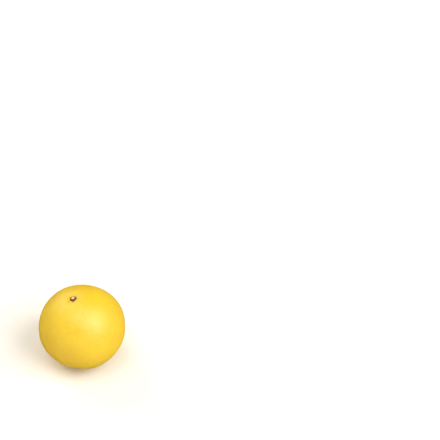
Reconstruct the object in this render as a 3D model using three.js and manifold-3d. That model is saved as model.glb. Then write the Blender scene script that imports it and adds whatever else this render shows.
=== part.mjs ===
// A pomelo: a large, thick-skinned round citrus fruit, a little flattened from top to bottom, with the woody
// button of its cut stem still in place. Millimetres, +Z up. The origin is the middle of the base of its
// bounding box, on the small flat spot where the fruit rests. -Y is its front, and the stem is a little off
// the top, towards -X.
import * as THREE from 'three';
import { mergeVertices } from 'three/addons/utils/BufferGeometryUtils.js';
import Module from 'manifold-3d';

// The fruit as a whole, an upright oval
const equatorDiameter = 111;
const uprightDiameter = 107;
const restPress = 0.6; // how far the rind is pressed flat where it rests

// The stem end, a little off the top: a shallow dimple, deeper round the calyx, and creases that run out of
// it, each at an angle round the stem from +X
const stemOffTopDegrees = 7;
const dimpleDepth = 1.3;
const dimpleRadius = 10;
const hollowDepth = 0.8; // level under the calyx, with walls that rise from its edge
const hollowWallWidth = 4;
const creaseMiddle = 4.5; // distance from the stem's axis where a crease is deepest
const creaseWidth = 1.1;
const creases = [
  { angle: 57, length: 7, depth: 0.8 },
  { angle: 128, length: 4, depth: 0.3 },
  { angle: 205, length: 5, depth: 0.25 },
  { angle: 262, length: 4, depth: 0.3 },
  { angle: 338, length: 5, depth: 0.3 },
];

// Broad low swells and flats over the plain oval. Longitude goes from the front towards +X and latitude up
// from the equator, both in degrees, as are the half-widths; height is in mm, and a flat has a negative one
const skinForms = [
  { longitude: -26, latitude: -28, wide: 14, tall: 30, height: -0.8 },
  { longitude: -50, latitude: 12, wide: 15, tall: 26, height: 0.4 },
  { longitude: -85, latitude: -6, wide: 18, tall: 26, height: 0.9 },
  { longitude: -114, latitude: 24, wide: 20, tall: 22, height: 0.8 },
  { longitude: -146, latitude: 38, wide: 24, tall: 20, height: 1.0 },
  { longitude: -150, latitude: -20, wide: 16, tall: 28, height: 0.4 },
  { longitude: 16, latitude: -42, wide: 24, tall: 20, height: 1.1 },
  { longitude: 54, latitude: -28, wide: 20, tall: 24, height: 0.4 },
  { longitude: 84, latitude: -8, wide: 16, tall: 26, height: -0.5 },
  { longitude: 142, latitude: 34, wide: 22, tall: 20, height: -0.8 },
  { longitude: 150, latitude: -22, wide: 18, tall: 26, height: -0.6 },
];

// The stem button: a five-lobed woody calyx and the stub of the cut stalk on it
const calyxLobes = 5;
const calyxRadius = 4.1;
const lobeReach = 0.45; // how far the lobes stand out past that radius
const calyxThickness = 1.1;
const stubRadius = 2.4;
const stubHeight = 2.5; // above the calyx's underside
const socketDepth = 0.7; // how deep the calyx sits in the rind
const socketHeight = 6; // up to well clear of the dimple's edge
const seatGap = 0.3;

// Fineness of the surfaces
const fruitSectors = 80;
const stemEndRings = 12;
const flankRings = 26;
const blossomEndRings = 8;
const endReachDegrees = 17; // how far the finer rings of either end go from its pole
const buttonSectors = 60;
const socketSides = 48;

const equatorRadius = equatorDiameter / 2;
const uprightRadius = uprightDiameter / 2;
const { degToRad, radToDeg, lerp } = THREE.MathUtils;
const stemTilt = -degToRad(stemOffTopDegrees); // turn about Y from straight up to the stem's axis

const wasm = await Module();
wasm.setup();

// Closed surface from one pole to the other, through rings of points that all have the same number of points
function closedSurface(ringCount, sectors, pointAt) {
  const points = [];
  for (let ring = 1; ring < ringCount; ring++) {
    for (let sector = 0; sector < sectors; sector++) {
      points.push(...pointAt(ring, (2 * Math.PI * sector) / sectors));
    }
  }
  const topPole = points.length / 3;
  points.push(...pointAt(0, 0));
  const bottomPole = topPole + 1;
  points.push(...pointAt(ringCount, 0));

  const faces = [];
  const lastRing = (ringCount - 2) * sectors;
  for (let sector = 0; sector < sectors; sector++) {
    const next = (sector + 1) % sectors;
    faces.push(topPole, sector, next);
    faces.push(bottomPole, lastRing + next, lastRing + sector);
    for (let ring = 0; ring < ringCount - 2; ring++) {
      const upper = ring * sectors;
      const lower = upper + sectors;
      faces.push(upper + sector, lower + sector, lower + next);
      faces.push(upper + sector, lower + next, upper + next);
    }
  }
  const geometry = new THREE.BufferGeometry();
  geometry.setAttribute('position', new THREE.Float32BufferAttribute(points, 3));
  geometry.setIndex(faces);
  return geometry;
}

function toSolid(geometry) {
  const bare = geometry.clone();
  bare.deleteAttribute('normal');
  bare.deleteAttribute('uv');
  const merged = mergeVertices(bare, 1e-4);
  return new wasm.Manifold(
    new wasm.Mesh({
      numProp: 3,
      vertProperties: new Float32Array(merged.attributes.position.array),
      triVerts: new Uint32Array(merged.index.array),
    }),
  );
}

function toGeometry(solid) {
  const mesh = solid.getMesh();
  const geometry = new THREE.BufferGeometry();
  geometry.setAttribute('position', new THREE.BufferAttribute(mesh.vertProperties, 3));
  geometry.setIndex(new THREE.BufferAttribute(mesh.triVerts, 1));
  geometry.computeVertexNormals();
  return geometry;
}

const bell = (distance, width) => Math.exp(-((distance / width) ** 2));

// Smallest turn from one angle to another, in degrees
const turnBetween = (from, to) => ((((to - from + 180) % 360) + 360) % 360) - 180;

// Height of the swells and flats over the plain oval, in a direction from the fruit's centre
function skinRelief(direction) {
  const longitude = radToDeg(Math.atan2(direction.x, -direction.y));
  const latitude = radToDeg(Math.asin(direction.z));
  let height = 0;
  for (const form of skinForms) {
    const across = turnBetween(form.longitude, longitude);
    height += form.height * bell(across, form.wide) * bell(latitude - form.latitude, form.tall);
  }
  return height;
}

// Depth of the dimple and its creases, at a distance from the stem's axis and an angle round it
function stemEndDepth(distance, angle) {
  const pastCalyx = Math.max(0, distance - calyxRadius);
  let depth = dimpleDepth * bell(distance, dimpleRadius) + hollowDepth * bell(pastCalyx, hollowWallWidth);
  for (const crease of creases) {
    const turn = angle - degToRad(crease.angle);
    const along = distance * Math.cos(turn);
    const across = distance * Math.sin(turn);
    if (along > 0) {
      depth += crease.depth * bell(across, creaseWidth) * bell(along - creaseMiddle, crease.length);
    }
  }
  return depth;
}

// Point of the skin, at an angle away from the stem's axis and an angle round it, from the fruit's centre
function skinPoint(away, angle) {
  const direction = new THREE.Vector3(
    Math.sin(away) * Math.cos(angle),
    Math.sin(away) * Math.sin(angle),
    Math.cos(away),
  ).applyAxisAngle(new THREE.Vector3(0, 1, 0), stemTilt);
  const level = Math.hypot(direction.x, direction.y);
  const radius = 1 / Math.hypot(level / equatorRadius, direction.z / uprightRadius);
  const outward = new THREE.Vector3(
    direction.x / equatorRadius ** 2,
    direction.y / equatorRadius ** 2,
    direction.z / uprightRadius ** 2,
  ).normalize();

  let height = skinRelief(direction);
  if (away < Math.PI / 2) {
    height -= stemEndDepth(radius * Math.sin(away), angle);
  }
  return direction.multiplyScalar(radius).addScaledVector(outward, height);
}

// Angle of a ring of the skin away from the stem's axis: finer steps at both ends
function ringAngle(ring) {
  const endReach = degToRad(endReachDegrees);
  const blossomEnd = Math.PI - endReach;
  if (ring <= stemEndRings) {
    return (endReach * ring) / stemEndRings;
  }
  if (ring <= stemEndRings + flankRings) {
    return lerp(endReach, blossomEnd, (ring - stemEndRings) / flankRings);
  }
  return lerp(blossomEnd, Math.PI, (ring - stemEndRings - flankRings) / blossomEndRings);
}

// Whole skin about the fruit's centre, before it is pressed flat
function skinSurface() {
  const ringCount = stemEndRings + flankRings + blossomEndRings;
  return closedSurface(ringCount, fruitSectors, (ring, angle) => skinPoint(ringAngle(ring), angle).toArray());
}

// The socket's floor, and the calyx's underside above it, as distances from the fruit's centre along the stem
const calyxSeat = skinPoint(0, 0).length() - socketDepth;
const socketFloor = calyxSeat - seatGap;

function buildFruit(centre) {
  const skin = skinSurface().translate(centre.x, centre.y, centre.z);

  const groundSize = 2 * equatorDiameter;
  const ground = new THREE.BoxGeometry(groundSize, groundSize, groundSize);
  ground.translate(0, 0, -groundSize / 2);

  const socketRadius = calyxRadius + lobeReach + seatGap;
  const socket = new THREE.CylinderGeometry(socketRadius, socketRadius, socketHeight, socketSides);
  socket.rotateX(Math.PI / 2);
  socket.translate(0, 0, socketFloor + socketHeight / 2);
  socket.rotateY(stemTilt).translate(centre.x, centre.y, centre.z);

  const body = toSolid(skin).subtract(toSolid(ground)).subtract(toSolid(socket));
  const rind = new THREE.MeshStandardMaterial({ color: 0xf4cf4a, roughness: 0.45, metalness: 0 });
  const fruit = new THREE.Mesh(toGeometry(body), rind);
  fruit.name = 'fruit';
  return fruit;
}

// Section of the button, from the middle of the cut down over the calyx to the middle of its underside: how
// far out, how high, and how much of the lobes' reach it takes
function buttonSection() {
  return [
    { out: 0, high: stubHeight + 0.05, lobes: 0 },
    { out: stubRadius - 0.6, high: stubHeight + 0.05, lobes: 0 },
    { out: stubRadius - 0.15, high: stubHeight - 0.1, lobes: 0 },
    { out: stubRadius, high: stubHeight - 0.4, lobes: 0 },
    { out: stubRadius, high: calyxThickness + 0.6, lobes: 0 },
    { out: stubRadius + 0.3, high: calyxThickness + 0.15, lobes: 0.2 },
    { out: calyxRadius - 0.9, high: calyxThickness, lobes: 0.6 },
    { out: calyxRadius - 0.2, high: calyxThickness - 0.25, lobes: 1 },
    { out: calyxRadius, high: calyxThickness - 0.55, lobes: 1 },
    { out: calyxRadius - 0.2, high: 0.1, lobes: 0.9 },
    { out: calyxRadius - 0.5, high: 0, lobes: 0.8 },
    { out: 0, high: 0, lobes: 0 },
  ];
}

function buildStemButton() {
  const section = buttonSection();
  const geometry = closedSurface(section.length - 1, buttonSectors, (ring, angle) => {
    const { out, high, lobes } = section[ring];
    const reach = out + lobes * lobeReach * Math.cos(calyxLobes * angle);
    return [reach * Math.cos(angle), reach * Math.sin(angle), high];
  });
  geometry.computeVertexNormals();
  const wood = new THREE.MeshStandardMaterial({ color: 0x9a7a4a, roughness: 0.85, metalness: 0 });
  const button = new THREE.Mesh(geometry, wood);
  button.name = 'stem_button';
  button.position.z = calyxSeat;
  return button;
}

// The fruit's centre: its box stands over the origin, and its lowest skin is pressed flat at z 0
const skinBox = new THREE.Box3().setFromBufferAttribute(skinSurface().attributes.position);
const middle = skinBox.getCenter(new THREE.Vector3());
const centre = new THREE.Vector3(-middle.x, -middle.y, -skinBox.min.z - restPress);

const stemEnd = new THREE.Group();
stemEnd.position.copy(centre);
stemEnd.rotation.y = stemTilt;
stemEnd.add(buildStemButton());

const pomelo = new THREE.Group();
pomelo.add(buildFruit(centre));
pomelo.add(stemEnd);

export default pomelo;
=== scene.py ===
import math

import bpy
import numpy as np
from mathutils import Matrix, Vector


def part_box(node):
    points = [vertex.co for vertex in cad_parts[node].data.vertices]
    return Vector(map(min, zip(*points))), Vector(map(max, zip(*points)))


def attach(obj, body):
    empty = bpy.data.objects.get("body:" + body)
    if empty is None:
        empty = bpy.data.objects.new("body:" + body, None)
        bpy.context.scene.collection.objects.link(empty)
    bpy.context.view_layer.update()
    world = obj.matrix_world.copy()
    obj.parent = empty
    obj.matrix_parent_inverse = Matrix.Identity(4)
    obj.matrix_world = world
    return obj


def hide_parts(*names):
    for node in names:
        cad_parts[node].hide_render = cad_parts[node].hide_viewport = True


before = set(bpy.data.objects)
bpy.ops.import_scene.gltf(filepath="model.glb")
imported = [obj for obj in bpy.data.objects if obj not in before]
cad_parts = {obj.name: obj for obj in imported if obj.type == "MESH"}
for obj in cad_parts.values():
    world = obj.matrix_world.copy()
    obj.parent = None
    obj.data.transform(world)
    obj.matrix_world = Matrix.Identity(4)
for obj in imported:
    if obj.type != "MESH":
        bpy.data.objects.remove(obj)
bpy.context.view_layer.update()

# Fruit: one ripe pomelo, flesh and thick spongy pith inside a waxy golden yellow rind, grown as one body.
# It is an oval a little wider than high, dotted with oil glands, dipped and creased round the stem, swollen
# gently here and there down the sides, and pressed flat where it rests.
mm = 0.001
equator_radius = 55.5 * mm
upright_radius = 53.5 * mm
rest_press = 0.6 * mm
stem_tilt = math.radians(-7)
dimple_depth = 1.3 * mm
dimple_radius = 10 * mm
hollow_depth = 0.8 * mm
hollow_floor_radius = 4.1 * mm
hollow_wall_width = 4 * mm
crease_middle = 4.5 * mm
crease_width = 1.1 * mm
# Angle round the stem in degrees, length and depth in millimetres
creases = [(57, 7, 0.8), (128, 4, 0.3), (205, 5, 0.25), (262, 4, 0.3), (338, 5, 0.3)]
# Longitude from the front and latitude, half-widths along both, all in degrees, and height in millimetres
skin_forms = [
    (-26, -28, 14, 30, -0.8),
    (-50, 12, 15, 26, 0.4),
    (-85, -6, 18, 26, 0.9),
    (-114, 24, 20, 22, 0.8),
    (-146, 38, 24, 20, 1.0),
    (-150, -20, 16, 28, 0.4),
    (16, -42, 24, 20, 1.1),
    (54, -28, 20, 24, 0.4),
    (84, -8, 16, 26, -0.5),
    (142, 34, 22, 20, -0.8),
    (150, -22, 18, 26, -0.6),
]
fold_count = 23
fold_height = 0.1 * mm
fold_middle = 6 * mm
fold_width = 2.5 * mm
# Length and height of the swells, how many waves make them, and the seed of their draw
uneven_skin = [(21 * mm, 0.10 * mm, 40, 1), (5 * mm, 0.022 * mm, 60, 2)]
scar_radius = 2.6 * mm
scar_depth = 0.4 * mm
large_gland_gap = 1.55 * mm
small_gland_gap = 0.83 * mm
skin_sectors = 360
stem_end_rings, flank_rings, blossom_end_rings = 72, 172, 22
stem_end_reach = math.radians(24)
blossom_end_reach = math.radians(16)


def bell(distance, width):
    return np.exp(-((distance / width) ** 2))


def random_waves(points, length, count, seed):
    """Smooth uneven relief, mostly between -1 and 1, with its swells about that length apart."""
    draw = np.random.default_rng(seed)
    facing = draw.normal(size=(count, 3))
    facing /= np.linalg.norm(facing, axis=1, keepdims=True)
    steps = 2 * np.pi / (length * draw.uniform(0.75, 1.35, (count, 1)))
    phases = draw.uniform(0, 2 * np.pi, count)
    return np.cos(points @ (facing * steps).T + phases).sum(axis=1) / math.sqrt(count)


def skin_points(away, angle):
    """Points of the rind about the fruit's centre, by the angle away from the stem's axis and round it."""
    level = np.sin(away)
    direction = np.stack([level * np.cos(angle), level * np.sin(angle), np.cos(away)], axis=1)
    direction = direction @ np.array(Matrix.Rotation(stem_tilt, 3, "Y")).T
    radii = np.array([equator_radius, equator_radius, upright_radius])
    points = direction / np.linalg.norm(direction / radii, axis=1, keepdims=True)
    outward = direction / radii**2
    outward /= np.linalg.norm(outward, axis=1, keepdims=True)

    longitude = np.degrees(np.arctan2(direction[:, 0], -direction[:, 1]))
    latitude = np.degrees(np.arcsin(np.clip(direction[:, 2], -1, 1)))
    height = np.zeros(len(away))
    for form_longitude, form_latitude, wide, tall, form_height in skin_forms:
        across = (longitude - form_longitude + 180) % 360 - 180
        height += form_height * mm * bell(across, wide) * bell(latitude - form_latitude, tall)

    distance = np.linalg.norm(points, axis=1) * level
    stem_half = away < np.pi / 2
    height -= stem_half * dimple_depth * bell(distance, dimple_radius)
    past_calyx = np.maximum(0, distance - hollow_floor_radius)
    height -= stem_half * hollow_depth * bell(past_calyx, hollow_wall_width)
    for crease_angle, length, depth in creases:
        turned = angle - math.radians(crease_angle)
        along = distance * np.cos(turned)
        across = distance * np.sin(turned)
        crease = depth * mm * bell(across, crease_width) * bell(along - crease_middle, length * mm)
        height -= stem_half * (along > 0) * crease

    folds = 0.5 + 0.5 * np.cos(fold_count * angle + 2 * np.sin(3 * angle))
    height -= stem_half * fold_height * folds * bell(distance - fold_middle, fold_width)
    height -= ~stem_half * scar_depth * bell(distance, 0.6 * scar_radius)
    for swell_length, swell_height, wave_count, seed in uneven_skin:
        height += swell_height * random_waves(points, swell_length, wave_count, seed)
    return points + outward * height[:, None]


def ring_mesh(name, rings, sectors):
    """Closed mesh through rings of points, where the first and the last ring are one point each."""
    points = np.concatenate(rings)
    faces = []
    last = len(points) - 1
    count = len(rings) - 2
    last_ring = 1 + (count - 1) * sectors
    for sector in range(sectors):
        after = (sector + 1) % sectors
        faces.append((0, 1 + sector, 1 + after))
        faces.append((last, last_ring + after, last_ring + sector))
    for ring in range(count - 1):
        upper = 1 + ring * sectors
        lower = upper + sectors
        for sector in range(sectors):
            after = (sector + 1) % sectors
            faces.append((upper + sector, lower + sector, lower + after, upper + after))
    mesh = bpy.data.meshes.new(name)
    mesh.from_pydata(points.tolist(), [], faces)
    mesh.polygons.foreach_set("use_smooth", [True] * len(mesh.polygons))
    mesh.update()
    return mesh


def place(name, mesh, material):
    piece = bpy.data.objects.new(name, mesh)
    bpy.context.scene.collection.objects.link(piece)
    mesh.materials.append(material)
    return piece


def spread_skin_flat(mesh, centre, radius):
    """Lay the skin out in six flat patches at true size, so that round glands stay round on it."""
    patch_gap = 4 * radius
    places = np.zeros(len(mesh.vertices) * 3)
    mesh.vertices.foreach_get("co", places)
    directions = places.reshape(-1, 3) - centre
    directions /= np.linalg.norm(directions, axis=1, keepdims=True)
    corners = np.zeros(len(mesh.loops), dtype=int)
    mesh.loops.foreach_get("vertex_index", corners)
    corner_counts = np.zeros(len(mesh.polygons), dtype=int)
    mesh.polygons.foreach_get("loop_total", corner_counts)
    around = directions[corners]
    middles = np.add.reduceat(around, np.cumsum(corner_counts) - corner_counts)
    nearest = np.argmax(np.abs(middles), axis=1)
    side = np.sign(middles[np.arange(len(middles)), nearest])
    axes = np.repeat(nearest, corner_counts)
    sides = np.repeat(side, corner_counts)
    picks = np.arange(len(corners))
    stretch = 2 * radius / (1 + sides * around[picks, axes])
    flat = np.stack([around[picks, (axes + 1) % 3], around[picks, (axes + 2) % 3]], axis=1)
    flat *= stretch[:, None]
    flat[:, 0] += patch_gap * (2 * axes + (sides > 0))
    mesh.uv_layers.new(name="skin").data.foreach_set("uv", flat.ravel())


ring_angles = np.concatenate([
    np.linspace(0, stem_end_reach, stem_end_rings, endpoint=False),
    np.linspace(stem_end_reach, np.pi - blossom_end_reach, flank_rings, endpoint=False),
    np.linspace(np.pi - blossom_end_reach, np.pi, blossom_end_rings),
])
sector_angles = np.arange(skin_sectors) * 2 * np.pi / skin_sectors
fruit_rings = []
for ring_angle in ring_angles:
    round_it = sector_angles if 0 < ring_angle < np.pi else sector_angles[:1]
    fruit_rings.append(skin_points(np.full(len(round_it), ring_angle), round_it))

skin_low = np.min([ring.min(axis=0) for ring in fruit_rings], axis=0)
skin_high = np.max([ring.max(axis=0) for ring in fruit_rings], axis=0)
box_low, box_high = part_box("fruit")
fruit_centre = np.array([
    (box_low[0] + box_high[0] - skin_low[0] - skin_high[0]) / 2,
    (box_low[1] + box_high[1] - skin_low[1] - skin_high[1]) / 2,
    box_low[2] - skin_low[2] - rest_press,
])
for ring in fruit_rings:
    ring += fruit_centre
    ring[:, 2] = np.maximum(ring[:, 2], box_low[2])
stem_end = fruit_rings[0][0]
blossom_end = fruit_rings[-1][0]


def add_node(tree, kind, **settings):
    node = tree.nodes.new(kind)
    for name, value in settings.items():
        setattr(node, name, value)
    return node


def link(tree, source, node, socket):
    tree.links.new(source, node.inputs[socket])


def noise(tree, place_in, size, detail, roughness=0.5, colour=False):
    """Noise with features about that size, as one number or as a colour."""
    node = add_node(tree, "ShaderNodeTexNoise")
    node.inputs["Scale"].default_value = 1 / size
    node.inputs["Detail"].default_value = detail
    node.inputs["Roughness"].default_value = roughness
    link(tree, place_in, node, "Vector")
    return node.outputs["Color" if colour else "Fac"]


def spread(tree, value, low, high, to_low=0.0, to_high=1.0, smooth=True):
    """Value stretched from low..high to to_low..to_high, and held at both ends."""
    node = add_node(tree, "ShaderNodeMapRange", interpolation_type="SMOOTHSTEP" if smooth else "LINEAR")
    link(tree, value, node, "Value")
    node.inputs["From Min"].default_value = low
    node.inputs["From Max"].default_value = high
    node.inputs["To Min"].default_value = to_low
    node.inputs["To Max"].default_value = to_high
    return node.outputs["Result"]


def blend_colours(tree, share, first, second):
    """First colour blended with the second by that share; either may be a socket or a plain colour."""
    node = add_node(tree, "ShaderNodeMix", data_type="RGBA")
    # Of this node's sockets, the share goes into 0 and the colours into 6 and 7, and the blend comes out of 2
    for socket, given in ((node.inputs[6], first), (node.inputs[7], second)):
        if isinstance(given, tuple):
            socket.default_value = (*given, 1)
        else:
            tree.links.new(given, socket)
    tree.links.new(share, node.inputs[0])
    return node.outputs[2]


def reckon(tree, how, first, second):
    """One sum on two numbers, each a socket or a plain number."""
    node = add_node(tree, "ShaderNodeMath", operation=how)
    for socket, given in ((node.inputs[0], first), (node.inputs[1], second)):
        if isinstance(given, (int, float)):
            socket.default_value = given
        else:
            tree.links.new(given, socket)
    return node.outputs[0]


def add_relief(tree, shader, *layers):
    """Layers of (shape, height in millimetres), laid on each other and pressed into the finish."""
    relief = None
    for shape, height in layers:
        layer = reckon(tree, "MULTIPLY", shape, height)
        relief = layer if relief is None else reckon(tree, "ADD", relief, layer)
    bump = add_node(tree, "ShaderNodeBump")
    bump.inputs["Strength"].default_value = 1.0
    bump.inputs["Distance"].default_value = mm
    link(tree, relief, bump, "Height")
    link(tree, bump.outputs["Normal"], shader, "Normal")


def new_finish(name):
    material = bpy.data.materials.new(name)
    material.use_nodes = True
    tree = material.node_tree
    shader = tree.nodes["Principled BSDF"]
    spot = add_node(tree, "ShaderNodeTexCoord").outputs["Object"]
    return material, tree, shader, spot


def distance_to(tree, spot, place_there):
    node = add_node(tree, "ShaderNodeVectorMath", operation="DISTANCE")
    link(tree, spot, node, 0)
    node.inputs[1].default_value = place_there
    return node.outputs["Value"]


def wander(tree, skin, spot, size, reach):
    """The same places, moved to and fro by about that reach, so that nothing on them stands in rows."""
    centred = add_node(tree, "ShaderNodeVectorMath", operation="SUBTRACT")
    link(tree, noise(tree, spot, size, 1.0, colour=True), centred, 0)
    centred.inputs[1].default_value = (0.5, 0.5, 0.5)
    sized = add_node(tree, "ShaderNodeVectorMath", operation="SCALE")
    link(tree, centred.outputs["Vector"], sized, "Vector")
    sized.inputs["Scale"].default_value = 2 * reach
    moved = add_node(tree, "ShaderNodeVectorMath", operation="ADD")
    link(tree, skin, moved, 0)
    link(tree, sized.outputs["Vector"], moved, 1)
    return moved.outputs["Vector"]


def scattered(tree, place_in, gap, **settings):
    """How far the nearest of many scattered points is, in gaps, and two random numbers for that point."""
    cells = add_node(tree, "ShaderNodeTexVoronoi", feature="F1", **settings)
    cells.inputs["Scale"].default_value = 1 / gap
    link(tree, place_in, cells, "Vector")
    luck = add_node(tree, "ShaderNodeSeparateColor")
    link(tree, cells.outputs["Color"], luck, "Color")
    return cells, luck.outputs["Red"], luck.outputs["Green"]


def gland_pits(tree, skin, gap, smallest, largest):
    """Round pits of uneven width, about that far apart, and a random number for each pit."""
    cells, width_luck, tint_luck = scattered(tree, skin, gap, voronoi_dimensions="2D")
    cells.inputs["Randomness"].default_value = 0.95
    width = spread(tree, width_luck, 0.0, 1.0, smallest, largest, False)
    share = reckon(tree, "DIVIDE", cells.outputs["Distance"], width)
    return spread(tree, share, 0.35, 1.0, 1.0, 0.0), tint_luck


def golden_rind():
    golden = (0.795, 0.524, 0.0055)
    lemon = (0.805, 0.564, 0.009)
    amber = (0.745, 0.44, 0.0035)
    dimple_shade_amber = (0.69, 0.41, 0.004)
    gland = (0.60, 0.31, 0.0025)
    rust = (0.31, 0.13, 0.012)
    scar_tan = (0.34, 0.20, 0.06)
    scar_dark = (0.10, 0.05, 0.012)
    material, tree, shader, spot = new_finish("golden_rind")

    drift = spread(tree, noise(tree, spot, 46 * mm, 2.0), 0.38, 0.64)
    colour = blend_colours(tree, drift, golden, lemon)
    mottle = spread(tree, noise(tree, spot, 7 * mm, 4.0, 0.6), 0.42, 0.72, 0.0, 0.30)
    colour = blend_colours(tree, mottle, colour, amber)

    skin = add_node(tree, "ShaderNodeUVMap", uv_map="skin").outputs["UV"]
    skin = wander(tree, skin, spot, 9 * mm, 1.2 * mm)
    large_pits, large_luck = gland_pits(tree, skin, large_gland_gap, 0.20, 0.44)
    small_pits, small_luck = gland_pits(tree, skin, small_gland_gap, 0.12, 0.36)
    large_tint = spread(tree, large_luck, 0.0, 1.0, 0.18, 0.80, False)
    colour = blend_colours(tree, reckon(tree, "MULTIPLY", large_pits, large_tint), colour, gland)
    small_tint = spread(tree, small_luck, 0.0, 1.0, 0.0, 0.50, False)
    colour = blend_colours(tree, reckon(tree, "MULTIPLY", small_pits, small_tint), colour, gland)

    # Painted shade: the rind is darkened towards a deeper amber in the dimple round the stem, within about 12
    # mm of it
    dimple_shade = spread(tree, distance_to(tree, spot, stem_end), 3 * mm, 12 * mm, 0.55, 0.0)
    colour = blend_colours(tree, dimple_shade, colour, dimple_shade_amber)
    crust = noise(tree, spot, 0.9 * mm, 4.0, 0.6)
    ragged = reckon(tree, "MULTIPLY", crust, 2 * mm)
    scar_edge = reckon(tree, "ADD", distance_to(tree, spot, blossom_end), ragged)
    scar = spread(tree, scar_edge, 0.7 * scar_radius, 1.6 * scar_radius, 0.95, 0.0)
    scar_colour = blend_colours(tree, spread(tree, crust, 0.38, 0.62), scar_dark, scar_tan)
    colour = blend_colours(tree, scar, colour, scar_colour)

    specks, speck_luck, _ = scattered(tree, spot, 9 * mm)
    dot = spread(tree, specks.outputs["Distance"], 0.02, 0.06, 1.0, 0.0)
    few = spread(tree, speck_luck, 0.80, 0.86)
    speck_tint = reckon(tree, "MULTIPLY", reckon(tree, "MULTIPLY", dot, few), 0.55)
    link(tree, blend_colours(tree, speck_tint, colour, rust), shader, "Base Color")

    gloss = spread(tree, noise(tree, spot, 12 * mm, 3.0), 0.35, 0.7, 0.41, 0.50)
    rough = reckon(tree, "ADD", gloss, reckon(tree, "MULTIPLY", large_pits, 0.08))
    link(tree, rough, shader, "Roughness")
    grain = noise(tree, spot, 0.45 * mm, 2.0)
    pebbles = noise(tree, spot, 3.2 * mm, 2.0)
    add_relief(tree, shader, (large_pits, -0.085), (small_pits, -0.03), (grain, 0.030), (pebbles, 0.16))

    shader.inputs["Subsurface Weight"].default_value = 0.12
    shader.inputs["Subsurface Radius"].default_value = (1.0, 0.5, 0.15)
    shader.inputs["Subsurface Scale"].default_value = 2.0 * mm
    shader.inputs["IOR"].default_value = 1.75
    return material


fruit = place("pomelo_fruit", ring_mesh("pomelo_fruit", fruit_rings, skin_sectors), golden_rind())
spread_skin_flat(fruit.data, fruit_centre, equator_radius)
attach(fruit, "root")
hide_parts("fruit")

# Calyx: the dried star of sepals in the dimple, five blunt, leathery, olive-brown lobes grown together round
# the stalk and wrinkled as they dried. It lies close on the rind, which has grown up against its edge.
calyx_waist = 3.7 * mm
lobe_reach = 0.75 * mm
# Share of that reach that each lobe takes
lobe_lengths = np.array([1.0, 0.8, 1.05, 0.9, 1.1])
lobe_turn = 0.3
socket_depth = 0.7 * mm
button_sectors = 240
calyx_rings = 64
wrinkle_height = 0.05 * mm
wrinkle_middle = 3.4 * mm
wrinkle_width = 0.9 * mm
shrivel_waves = 24

button_angles = np.arange(button_sectors) * 2 * np.pi / button_sectors
stem_turn = Matrix.Rotation(stem_tilt, 3, "Y")
stem_pole = np.linalg.norm(skin_points(np.array([0.0]), np.array([0.0]))[0])
stem_seat = Vector(fruit_centre) + stem_turn @ Vector((0, 0, stem_pole - socket_depth))


def lathe_rings(corners, steps, softening):
    """Rings round the stem's axis from (out, high) corners, each a number or one number for each sector."""
    outs = np.array([np.broadcast_to(out, button_sectors) for out, high in corners])
    highs = np.array([np.broadcast_to(high, button_sectors) for out, high in corners])
    along = np.linspace(0, len(corners) - 1, steps)
    before = np.minimum(along.astype(int), len(corners) - 2)
    share = (along - before)[:, None]
    outs = outs[before] * (1 - share) + outs[before + 1] * share
    highs = highs[before] * (1 - share) + highs[before + 1] * share
    for line in (outs, highs):
        for _ in range(softening):
            line[1:-1] = line[:-2] * 0.25 + line[1:-1] * 0.5 + line[2:] * 0.25
    return np.stack([outs * np.cos(button_angles), outs * np.sin(button_angles), highs], axis=2)


def out_and_turn(points):
    """How far each point is from the stem's axis, and its angle round it."""
    return np.hypot(points[:, 0], points[:, 1]), np.arctan2(points[:, 1], points[:, 0])


def place_on_stem(name, rings, material):
    closed_rings = [rings[0, :1], *rings[1:-1], rings[-1, :1]]
    piece = place(name, ring_mesh(name, closed_rings, button_sectors), material)
    piece.location = stem_seat
    piece.rotation_euler = stem_turn.to_euler()
    return piece


def calyx_shape():
    angles = button_angles + lobe_turn
    lobe = np.abs(np.cos(2.5 * angles)) ** 0.75
    lobe_number = np.round(5 * angles / (2 * np.pi)).astype(int) % 5
    edge = calyx_waist + lobe_reach * lobe * lobe_lengths[lobe_number]
    cleft = 1 - lobe
    rings = lathe_rings([
        (0, 1.2 * mm),
        (2.2 * mm, 1.45 * mm),
        (2.7 * mm, 1.55 * mm),
        (edge * 0.78, (1.48 - 0.30 * cleft) * mm),
        (edge * 0.92, (1.40 - 0.35 * cleft) * mm),
        (edge * 0.99, (1.22 - 0.25 * cleft) * mm),
        (edge, 0.95 * mm),
        (edge * 0.97, 0.55 * mm),
        (edge * 0.85, 0.1 * mm),
        (0, 0),
    ], calyx_rings, 3)
    flat = rings.reshape(-1, 3)
    out, turned = out_and_turn(flat)
    wrinkle = np.sin(27 * turned + 2.5 * np.sin(4 * turned)) * bell(out - wrinkle_middle, wrinkle_width)
    dents = 0.08 * mm * random_waves(flat, 1.3 * mm, shrivel_waves, seed=11)
    flat[:, 2] += wrinkle_height * wrinkle + dents
    flat[:, 2] += 0.025 * mm * random_waves(flat, 0.45 * mm, shrivel_waves, seed=12)
    flat[:, :2] *= 1 + 0.012 * random_waves(flat, 0.9 * mm, shrivel_waves, seed=13)[:, None]
    return flat.reshape(rings.shape)


def leathery_calyx():
    olive = (0.165, 0.098, 0.018)
    brown = (0.050, 0.026, 0.007)
    straw = (0.36, 0.22, 0.06)
    material, tree, shader, spot = new_finish("leathery_calyx")
    tone = spread(tree, noise(tree, spot, 1.2 * mm, 5.0, 0.65), 0.36, 0.66)
    colour = blend_colours(tree, tone, brown, olive)
    worn = spread(tree, noise(tree, spot, 0.5 * mm, 3.0, 0.6), 0.58, 0.75, 0.0, 0.6)
    link(tree, blend_colours(tree, worn, colour, straw), shader, "Base Color")
    shader.inputs["Roughness"].default_value = 0.82
    shader.inputs["Specular IOR Level"].default_value = 0.25
    add_relief(tree, shader, (noise(tree, spot, 0.30 * mm, 4.0, 0.6), 0.10))
    return material


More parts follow.
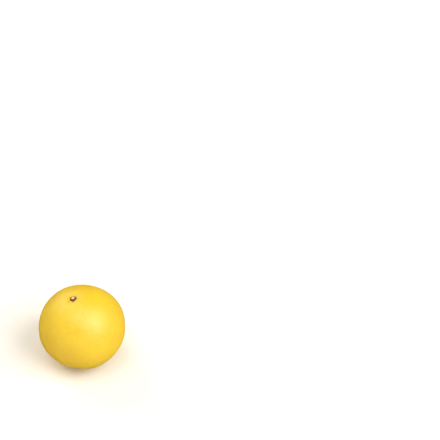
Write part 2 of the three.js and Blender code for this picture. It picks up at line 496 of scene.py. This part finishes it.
calyx = place_on_stem("calyx", calyx_shape(), leathery_calyx())
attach(calyx, "root")
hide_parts("stem_button")

# Stalk stub: what is left of the woody stalk, clipped off just above the calyx. It has rough bark all round,
# and on top the cut face of pale wood, with its pith in the middle, dried and split a little.
stub_radius = 2.35 * mm
stub_height = 2.5 * mm
stub_rings = 72
cut_slope = 0.05
slope_foot = 1.6 * mm
ray_height = 0.035 * mm
ray_middle = 1.5 * mm
ray_length = 0.7 * mm
# Angle round the stalk in radians and depth in millimetres
splits = [(0.6, 0.30), (2.9, 0.18), (4.4, 0.24)]
split_width = 0.07 * mm
split_middle = 1.2 * mm
split_length = 0.8 * mm
pith_radius = 0.5 * mm


def stub_shape():
    rings = lathe_rings([
        (0, stub_height - 0.08 * mm),
        (0.5 * stub_radius, stub_height - 0.06 * mm),
        (0.85 * stub_radius, stub_height),
        (0.95 * stub_radius, stub_height - 0.02 * mm),
        (stub_radius, stub_height - 0.20 * mm),
        (stub_radius, stub_height - 0.55 * mm),
        (stub_radius + 0.10 * mm, 1.72 * mm),
        (stub_radius + 0.45 * mm, 1.52 * mm),
        (stub_radius + 0.30 * mm, 1.20 * mm),
        (0, 1.0 * mm),
    ], stub_rings, 2)
    flat = rings.reshape(-1, 3)
    out, turned = out_and_turn(flat)
    on_cut = flat[:, 2] > stub_height - 0.15 * mm
    flat[:, 2] += cut_slope * flat[:, 0] * (flat[:, 2] > slope_foot)
    rays = np.sin(19 * turned + 2 * np.sin(3 * turned))
    flat[:, 2] += on_cut * (ray_height * rays * bell(out - ray_middle, ray_length))
    flat[:, 2] += on_cut * 0.045 * mm * random_waves(flat, 0.8 * mm, shrivel_waves, seed=21)
    for split_angle, split_depth in splits:
        across = out * np.sin(turned - split_angle)
        ahead = out * np.cos(turned - split_angle)
        split = on_cut * (ahead > 0) * split_depth * mm * bell(across, split_width)
        flat[:, 2] -= split * bell(ahead - split_middle, split_length)
    ridges = np.sin(13 * turned + 1.5 * np.sin(2 * turned + 1)) + 0.6 * np.sin(31 * turned)
    ruggedness = 0.022 * ridges + 0.02 * random_waves(flat, 0.9 * mm, shrivel_waves, seed=22)
    bark = 1 + ruggedness * (out > 0.8 * stub_radius)
    oval = 1 + 0.04 * np.cos(2 * turned + 0.8)
    flat[:, :2] *= (bark * oval)[:, None]
    return flat.reshape(rings.shape)


def cut_wood_and_bark():
    pale = (0.92, 0.68, 0.40)
    tan = (0.66, 0.42, 0.20)
    pith = (0.50, 0.30, 0.12)
    bark_light = (0.26, 0.165, 0.055)
    bark_dark = (0.085, 0.048, 0.014)
    material, tree, shader, spot = new_finish("cut_wood_and_bark")
    parts = add_node(tree, "ShaderNodeSeparateXYZ")
    link(tree, spot, parts, "Vector")
    level = add_node(tree, "ShaderNodeCombineXYZ")
    link(tree, parts.outputs["X"], level, "X")
    link(tree, parts.outputs["Y"], level, "Y")
    out = distance_to(tree, level.outputs["Vector"], (0, 0, 0))

    around = reckon(tree, "ARCTAN2", parts.outputs["Y"], parts.outputs["X"])
    rays_at = add_node(tree, "ShaderNodeCombineXYZ")
    link(tree, reckon(tree, "MULTIPLY", around, 4.0), rays_at, "X")
    link(tree, reckon(tree, "MULTIPLY", out, 900.0), rays_at, "Y")
    rays = spread(tree, noise(tree, rays_at.outputs["Vector"], 0.5, 3.0, 0.6), 0.35, 0.70)
    wood = blend_colours(tree, rays, pale, tan)
    patch = spread(tree, noise(tree, spot, 1.1 * mm, 3.0, 0.6), 0.45, 0.72, 0.0, 0.7)
    wood = blend_colours(tree, patch, wood, tan)
    in_pith = spread(tree, out, 0.5 * pith_radius, pith_radius, 0.8, 0.0)
    wood = blend_colours(tree, in_pith, wood, pith)

    stretched = add_node(tree, "ShaderNodeMapping")
    stretched.inputs["Scale"].default_value = (1, 1, 0.3)
    link(tree, spot, stretched, "Vector")
    along_bark = stretched.outputs["Vector"]
    grain = spread(tree, noise(tree, along_bark, 0.5 * mm, 4.0, 0.65), 0.36, 0.66)
    bark = blend_colours(tree, grain, bark_dark, bark_light)

    rim = spread(tree, out, 0.84 * stub_radius, 0.93 * stub_radius)
    cut_edge = stub_height - 0.22 * mm
    down = spread(tree, parts.outputs["Z"], stub_height - 0.45 * mm, cut_edge, 1.0, 0.0)
    is_bark = reckon(tree, "MAXIMUM", rim, down)
    link(tree, blend_colours(tree, is_bark, wood, bark), shader, "Base Color")
    shader.inputs["Roughness"].default_value = 0.8
    shader.inputs["Specular IOR Level"].default_value = 0.3
    add_relief(tree, shader, (noise(tree, along_bark, 0.25 * mm, 4.0, 0.6), 0.09))
    return material


stub = place_on_stem("stalk_stub", stub_shape(), cut_wood_and_bark())
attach(stub, "root")
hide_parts("stem_button")

# Floor: a sheet of plain near-white studio paper under the fruit, swept up into a low wall all round, with no
# edge or fold in sight.
floor_radius = 1.3
floor_rings = 8
sweep_radius = 1.0
sweep_steps = 24
wall_height = 1.05
floor_sectors = 96


def paper_sweep():
    profile = [(floor_radius * step / floor_rings, 0) for step in range(1, floor_rings + 1)]
    for step in range(1, sweep_steps + 1):
        bend = math.pi / 2 * step / sweep_steps
        out = floor_radius + sweep_radius * math.sin(bend)
        profile.append((out, sweep_radius * (1 - math.cos(bend))))
    profile.append((floor_radius + sweep_radius, wall_height))
    points = [(0, 0, 0)]
    faces = []
    for radius, height in profile:
        for sector in range(floor_sectors):
            angle = 2 * math.pi * sector / floor_sectors
            points.append((radius * math.cos(angle), radius * math.sin(angle), height))
    for sector in range(floor_sectors):
        after = (sector + 1) % floor_sectors
        faces.append((0, 1 + sector, 1 + after))
        for ring in range(len(profile) - 1):
            inner = 1 + ring * floor_sectors
            outer = inner + floor_sectors
            faces.append((inner + sector, outer + sector, outer + after, inner + after))
    mesh = bpy.data.meshes.new("floor")
    mesh.from_pydata(points, [], faces)
    mesh.polygons.foreach_set("use_smooth", [True] * len(mesh.polygons))
    return mesh


def studio_paper():
    near_white = (0.885, 0.862, 0.832, 1)
    material, _, shader, _ = new_finish("studio_paper")
    shader.inputs["Base Color"].default_value = near_white
    shader.inputs["Roughness"].default_value = 0.9
    shader.inputs["Specular IOR Level"].default_value = 0.2
    return material


floor = place("floor", paper_sweep(), studio_paper())
floor.visible_glossy = False

# Light: soft studio light from four big square panels, all aimed at the fruit, in a room that is otherwise
# dark. The strongest stands to the right of the front, one hangs overhead, and two warmer ones light the back
# and the left.
panel_distance = 6.0
panel_side = 4.4
warm_light = (1, 0.91, 0.72)
# Direction from the fruit, power in watts and colour
soft_panels = {
    "overhead_panel": ((-0.087, -0.150, 0.985), 162, (1, 1, 1)),
    "right_panel": ((0.569, -0.478, 0.669), 382, (1, 0.985, 0.97)),
    "back_panel": ((-0.42, 0.72, 0.56), 205, warm_light),
    "left_panel": ((-0.80, -0.20, 0.56), 30, warm_light),
}
for panel_name, (direction, power, colour) in soft_panels.items():
    lamp = bpy.data.lights.new(panel_name, "AREA")
    lamp.shape = "SQUARE"
    lamp.size = panel_side
    lamp.energy = power
    lamp.color = colour
    panel = bpy.data.objects.new(panel_name, lamp)
    aim = Vector(direction).normalized()
    panel.location = Vector(fruit_centre) + aim * panel_distance
    panel.rotation_euler = aim.to_track_quat("Z", "Y").to_euler()
    bpy.context.scene.collection.objects.link(panel)

dark_room = bpy.data.worlds.new("dark_room")
dark_room.use_nodes = True
dark_room.node_tree.nodes["Background"].inputs["Strength"].default_value = 0.0
bpy.context.scene.world = dark_room

# Camera: it stands where the photograph was taken from, a little over a metre off and well above the fruit,
# and looks past the fruit to its right, so that the fruit sits low on the left of the picture.
picture_side = 440
picture_focal = 841
camera_place = (0, -786 * mm, 850 * mm)
camera_looks = Vector((0.1787, 0.7556, -0.6302))
camera_roll = math.radians(-0.54)

camera_data = bpy.data.cameras.new("camera")
camera_data.sensor_width = 36
camera_data.lens = camera_data.sensor_width * picture_focal / picture_side
camera = bpy.data.objects.new("camera", camera_data)
camera.location = camera_place
camera_turn = camera_looks.to_track_quat("-Z", "Y").to_matrix() @ Matrix.Rotation(camera_roll, 3, "Z")
camera.rotation_euler = camera_turn.to_euler()
bpy.context.scene.collection.objects.link(camera)
bpy.context.scene.camera = camera
bpy.context.scene.view_settings.view_transform = "Standard"
